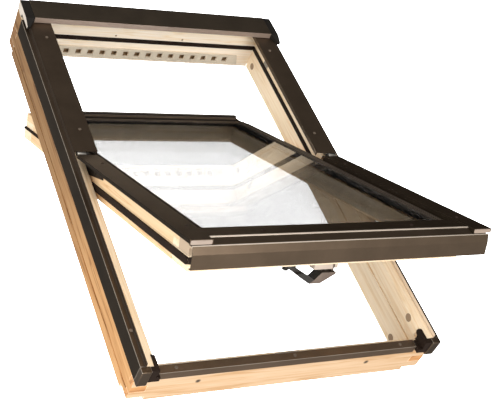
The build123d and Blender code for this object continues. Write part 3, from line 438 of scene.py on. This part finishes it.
def soften(obj, width):
    """Joins the mesh's faces along their shared edges and rounds the sharp ones."""
    weld = obj.modifiers.new("weld", "WELD")
    weld.merge_threshold = WELD_REACH
    rounding = obj.modifiers.new("edge", "BEVEL")
    rounding.width = width
    rounding.segments = ROUNDING_STEPS
    rounding.limit_method = "ANGLE"
    rounding.angle_limit = SHARP_ANGLE
    rounding.harden_normals = True


for node_name, node in NODES.items():
    for prefix, material, edge in PIECE_FINISH:
        if node_name.startswith(prefix):
            paint(node, material)
            if edge:
                soften(node, edge)
            break
    for prefix, material in EDGE_HIGHLIGHTS:
        if node_name.startswith(prefix):
            node.modifiers["edge"].material = add_slot(node, material)


# Places of faces, each a skin under the face that it is for
SKIN = 0.0005
JAMB_LOW, JAMB_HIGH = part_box("frame_jamb_right")
HEAD_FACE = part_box("frame_head")[0].y
OUTER_FACE = JAMB_HIGH.x - SKIN
SLOPE_END = JAMB_HIGH.y - SKIN
HOOD_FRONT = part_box("head_hood")[0].y + SKIN
LEG_FACE = CLADDING_HIGH.x - SKIN
UPSTAND_FACE = CLADDING_LOW.x + SKIN
REVEAL_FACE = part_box("sash_stile_right")[0].x + SKIN
# Room round the groove along a jamb's outer face
GROOVE_REACH = 0.0150
GROOVE_BACK = JAMB_HIGH.x - GROOVE_REACH
GROOVE_LOW = 0.0050
GROOVE_HIGH = 0.0600
# Room round the recesses in the head's inner face
RECESS_REACH = 0.0170
RECESS_FRONT = HEAD_FACE + SKIN
RECESS_BACK = HEAD_FACE + RECESS_REACH
RECESS_SIDE = JAMB_LOW.x - SKIN
RECESS_LOW = 0.0050
RECESS_HIGH = 0.1000
# Axes of the bottom cover's beads on the shut sash, up the slope and outward
BEAD_AXES = ((-0.6020, 0.1369), (-0.6228, 0.1254))
BEAD_RADIUS = 0.0022
# Places across the lock and the grip
LUG_END = -0.030
GRIP_MIDDLE = -0.004
# How squarely a face looks one way, as the cosine of the angle off it
SQUARE = 0.9
EXACT = 0.99
LEANING = 0.7


# Tests of a face by its middle c and its normal n
def sideways(c, n):
    """How squarely a face looks away from the window's middle: below zero, it looks inward."""
    return math.copysign(1.0, c.x) * n.x


def on_outer_side(c, n):
    """True on the frame's outermost sides."""
    return abs(c.x) > OUTER_FACE and abs(n.x) > SQUARE


def on_jamb_outside(c, n):
    """True on a jamb's outer face and in the groove along it."""
    groove = abs(c.x) > GROOVE_BACK and GROOVE_LOW < c.z < GROOVE_HIGH
    return groove or on_outer_side(c, n)


def on_slope_end(c, n):
    """True on the frame's ends up and down the slope."""
    return abs(c.y) > SLOPE_END and abs(n.y) > SQUARE


def in_recess(c, n):
    """True in the head's air duct, seal groove and blind holes."""
    inside = RECESS_FRONT < c.y < RECESS_BACK and abs(c.x) < RECESS_SIDE
    return inside and RECESS_LOW < c.z < RECESS_HIGH


def on_hole_wall(c, n):
    """True on the side walls of the vent's holes, and not on the strip's slanted ends."""
    return abs(n.x) > EXACT


def on_hood_lip(c, n):
    """True on the hood's front edge."""
    return c.y < HOOD_FRONT and n.y < -SQUARE


def on_cover_edge(c, n):
    """True on the faces of a side cover that look sideways."""
    return abs(n.x) > LEANING


def on_cladding_leg(c, n):
    """True on the outer face of the side cladding's leg."""
    return abs(c.x) > LEG_FACE and sideways(c, n) > SQUARE


def on_upstand_inside(c, n):
    """True on the inner face of the side cladding's upstand."""
    return abs(c.x) < UPSTAND_FACE and sideways(c, n) < 0.0


def on_bead(c, n):
    """True on the rolled beads along the bottom cover's folds."""
    place = OPEN_TO_SHUT @ c
    return any(math.hypot(place.y - y, place.z - z) < BEAD_RADIUS for y, z in BEAD_AXES)


def on_rail_reveal(c, n):
    """True on the top rail's faces that look down the open sash."""
    return n.dot(DOWN_SLOPE) > SQUARE


def on_stile_reveal(c, n):
    """True on a stile's face beside the glass."""
    return abs(c.x) < REVEAL_FACE and sideways(c, n) < 0.0


def on_grip_front(c, n):
    """True on the front of the grip's right arm."""
    return c.x > GRIP_MIDDLE and n.dot(DOWN_SLOPE) > LEANING


def on_left_lug(c, n):
    """True on the lock's left lug."""
    return c.x < LUG_END


# Faces that differ from the rest of their piece, by their own colour or by painted light and shade
FACE_TONES_AND_PAINTED_LIGHT = (
    ("frame_jamb", PINE_JAMB_OUT, on_jamb_outside),
    ("frame_jamb", PINE_END, on_slope_end),
    ("frame_sill", PINE_END, on_outer_side),
    ("frame_sill", PINE_CROSS_OUT, on_slope_end),
    ("frame_head", PINE_END, on_outer_side),
    ("frame_head", PINE_CROSS_OUT, on_slope_end),
    ("frame_head", PINE_RECESS_SHADE, in_recess),
    ("vent_strip", VENT_WALL_LIT, on_hole_wall),
    ("head_hood", HOOD_LIP_HIGHLIGHT, on_hood_lip),
    ("hood_end_cap", CAP_SIDE, on_outer_side),
    ("lower_side_cover", COVER_SIDE_SHADE, on_cover_edge),
    ("side_cladding", COVER_SIDE_SHADE, on_cladding_leg),
    ("side_cladding", UPSTAND, on_upstand_inside),
    ("sash_bottom_cover", COVER_BEAD_HIGHLIGHT, on_bead),
    ("sash_top_rail", RAIL_REVEAL_SHADE, on_rail_reveal),
    ("sash_stile", STILE_REVEAL_SHADE, on_stile_reveal),
    ("handle", GRIP_FACE_HIGHLIGHT, on_grip_front),
    ("lock_body", BLACK, on_left_lug),
)
for prefix, material, wanted in FACE_TONES_AND_PAINTED_LIGHT:
    for node_name, node in NODES.items():
        if node_name.startswith(prefix):
            face_slot = add_slot(node, material)
            for face in node.data.polygons:
                if wanted(face.center, face.normal):
                    face.material_index = face_slot


# Seal lips on the step along the upper half of the stiles, given on the shut sash
SEAL_START = 0.0450
SEAL_END = 0.5410
SEAL_LIP = (
    (0.3340, 0.0805),
    (0.3380, 0.0805),
    (0.3412, 0.0796),
    (0.3416, 0.0812),
    (0.3384, 0.0836),
    (0.3340, 0.0846),
)


def seal_lip(name, side):
    """A rubber lip of one section, run along the stile and turned with the open sash."""
    form = bmesh.new()
    rings = []
    for y in (SEAL_START, SEAL_END):
        rings.append([form.verts.new(SHUT_TO_OPEN @ Vector((side * x, y, z))) for x, z in SEAL_LIP])
    count = len(SEAL_LIP)
    for i in range(count):
        j = (i + 1) % count
        form.faces.new((rings[0][i], rings[0][j], rings[1][j], rings[1][i]))
    for ring in rings:
        form.faces.new(ring)
    bmesh.ops.recalc_face_normals(form, faces=form.faces)
    mesh = bpy.data.meshes.new(name)
    form.to_mesh(mesh)
    form.free()
    lip = bpy.data.objects.new(name, mesh)
    bpy.context.scene.collection.objects.link(lip)
    paint(lip, SEAL)
    soften(lip, SEAL_LIP_EDGE)
    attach(lip, "sash")


for name, side in (("upper_seal_left", -1.0), ("upper_seal_right", 1.0)):
    seal_lip(name, side)


# Stage: a white floor below the window, a wide one round it and a white backdrop
FLOOR_LEVEL = -0.46
FLOOR_SIZE = (3.1, 2.4)
FLOOR_SHIFT = 0.25
FLOOR_LAP = 0.002
WIDE_SIZE = (80.0, 80.0)
FLOOR_TONE = 0.9
FLOOR_ROUGHNESS = 0.9
# Glow of the floor between two places along Y: it is brighter behind the window.
FLOOR_GLOW = {"From Min": 0.32, "From Max": 0.64, "To Min": 2.55, "To Max": 3.4}
DOME_RADIUS = 38.0
DOME_GLOW = 2.0
DOME_SEGMENTS = 48
DOME_RINGS = 24


def ground(name, size, place):
    """A white studio surface, seen straight and through the glass, that throws no light."""
    bpy.ops.mesh.primitive_plane_add(size=1.0, location=place)
    sheet = bpy.context.object
    sheet.name = name
    sheet.scale = (size[0], size[1], 1.0)
    mat, tree, shader = new_material(name + "_white")
    set_inputs(shader, {
        "Base Color": grey(FLOOR_TONE),
        "Roughness": FLOOR_ROUGHNESS,
        "Emission Color": WHITE,
    })
    axes = tree.nodes.new("ShaderNodeSeparateXYZ")
    link(tree, tree.nodes.new("ShaderNodeNewGeometry").outputs["Position"], axes.inputs["Vector"])
    glow = tree.nodes.new("ShaderNodeMapRange")
    set_inputs(glow, FLOOR_GLOW)
    link(tree, axes.outputs["Y"], glow.inputs["Value"])
    link(tree, glow.outputs["Result"], shader.inputs["Emission Strength"])
    paint(sheet, mat)
    sheet.visible_diffuse = False
    sheet.visible_glossy = False
    return sheet


def backdrop(name):
    """A white dome all round, seen by the camera alone."""
    bpy.ops.mesh.primitive_uv_sphere_add(
        segments=DOME_SEGMENTS, ring_count=DOME_RINGS, radius=DOME_RADIUS, location=(0.0, 0.0, 0.0)
    )
    dome = bpy.context.object
    dome.name = name
    mat, _, shader = new_material(name + "_white")
    set_inputs(shader, {"Emission Color": WHITE, "Emission Strength": DOME_GLOW})
    paint(dome, mat)
    dome.visible_diffuse = False
    dome.visible_glossy = False
    dome.visible_transmission = False
    dome.visible_shadow = False


ground("floor", FLOOR_SIZE, (FLOOR_SHIFT, 0.0, FLOOR_LEVEL))
wide_floor = ground("wide_floor", WIDE_SIZE, (0.0, 0.0, FLOOR_LEVEL - FLOOR_LAP))
wide_floor.visible_transmission = False
backdrop("backdrop")


# Light: a sky that is bright on one side, and soft lamps
SKY_TOWARD = (-0.72, -0.62, 0.28)
SKY_SHADES = greys([(0.0, 0.0), (0.10, 0.01), (0.30, 0.16), (0.55, 0.80), (1.0, 1.0)])
SKY_STRENGTH = 1.25
# Name, place, target, width in metres and power in watts
LAMPS = (
    ("key", (0.4, -3.6, 1.9), (0.0, 0.0, 0.1), 0.9, 60.0),
    ("left_fill", (-3.2, 0.6, 1.5), (0.0, 0.0, 0.0), 1.6, 34.0),
    ("left_low", (-1.7, -2.1, 0.0), (-0.4, -0.4, 0.0), 0.6, 20.0),
    ("inner_fill", (-0.6, -0.3, 1.6), (0.1, 0.5, 0.08), 0.8, 7.0),
    ("head_fill", (0.12, 0.10, 0.50), (0.33, 0.549, 0.09), 0.1, 0.5),
)


def studio_sky():
    """A world whose brightness falls off with the angle to one direction."""
    world = bpy.data.worlds.new("studio")
    bpy.context.scene.world = world
    world.use_nodes = True
    sky = world.node_tree
    dot = sky.nodes.new("ShaderNodeVectorMath")
    dot.operation = "DOT_PRODUCT"
    dot.inputs[1].default_value = Vector(SKY_TOWARD).normalized()
    link(sky, sky.nodes.new("ShaderNodeTexCoord").outputs["Generated"], dot.inputs[0])
    spread = sky.nodes.new("ShaderNodeMapRange")
    set_inputs(spread, {"From Min": -1.0, "From Max": 1.0})
    link(sky, dot.outputs["Value"], spread.inputs["Value"])
    background = sky.nodes["Background"]
    link(sky, ramp(sky, spread.outputs["Result"], SKY_SHADES), background.inputs["Color"])
    background.inputs["Strength"].default_value = SKY_STRENGTH


def lamp(name, place, target, width, power):
    data = bpy.data.lights.new(name, "AREA")
    data.energy = power
    data.size = width
    obj = bpy.data.objects.new(name, data)
    bpy.context.scene.collection.objects.link(obj)
    obj.location = place
    obj.rotation_euler = (Vector(target) - Vector(place)).to_track_quat("-Z", "Y").to_euler()


studio_sky()
for settings in LAMPS:
    lamp(*settings)


# Camera, fitted to the photo: its focal length and shift are in the photo's pixels
CAMERA_AT = Vector((-1.2686, -1.7001, 1.8653))
CAMERA_FORWARD = Vector((0.4913, 0.5849, -0.6454)).normalized()
CAMERA_UP = Vector((0.0163, 0.7347, 0.6782))
IMAGE_WIDTH = 500.0
FOCAL_PIXELS = 1066.7
SHIFT_PIXELS = (-1.0, -0.7)
SENSOR_WIDTH = 36.0
CLIP_START = 0.01
camera_data = bpy.data.cameras.new("camera")
camera_data.sensor_width = SENSOR_WIDTH
camera_data.sensor_fit = "HORIZONTAL"
camera_data.lens = SENSOR_WIDTH * FOCAL_PIXELS / IMAGE_WIDTH
camera_data.shift_x = SHIFT_PIXELS[0] / IMAGE_WIDTH
camera_data.shift_y = SHIFT_PIXELS[1] / IMAGE_WIDTH
camera_data.clip_start = CLIP_START
camera = bpy.data.objects.new("camera", camera_data)
bpy.context.scene.collection.objects.link(camera)
back = -CAMERA_FORWARD
right = CAMERA_UP.cross(back).normalized()
up = back.cross(right)
camera.matrix_world = Matrix.Translation(CAMERA_AT) @ Matrix((right, up, back)).transposed().to_4x4()
bpy.context.scene.camera = camera

bpy.context.scene.view_settings.view_transform = "Standard"
bpy.context.scene.view_settings.look = "None"
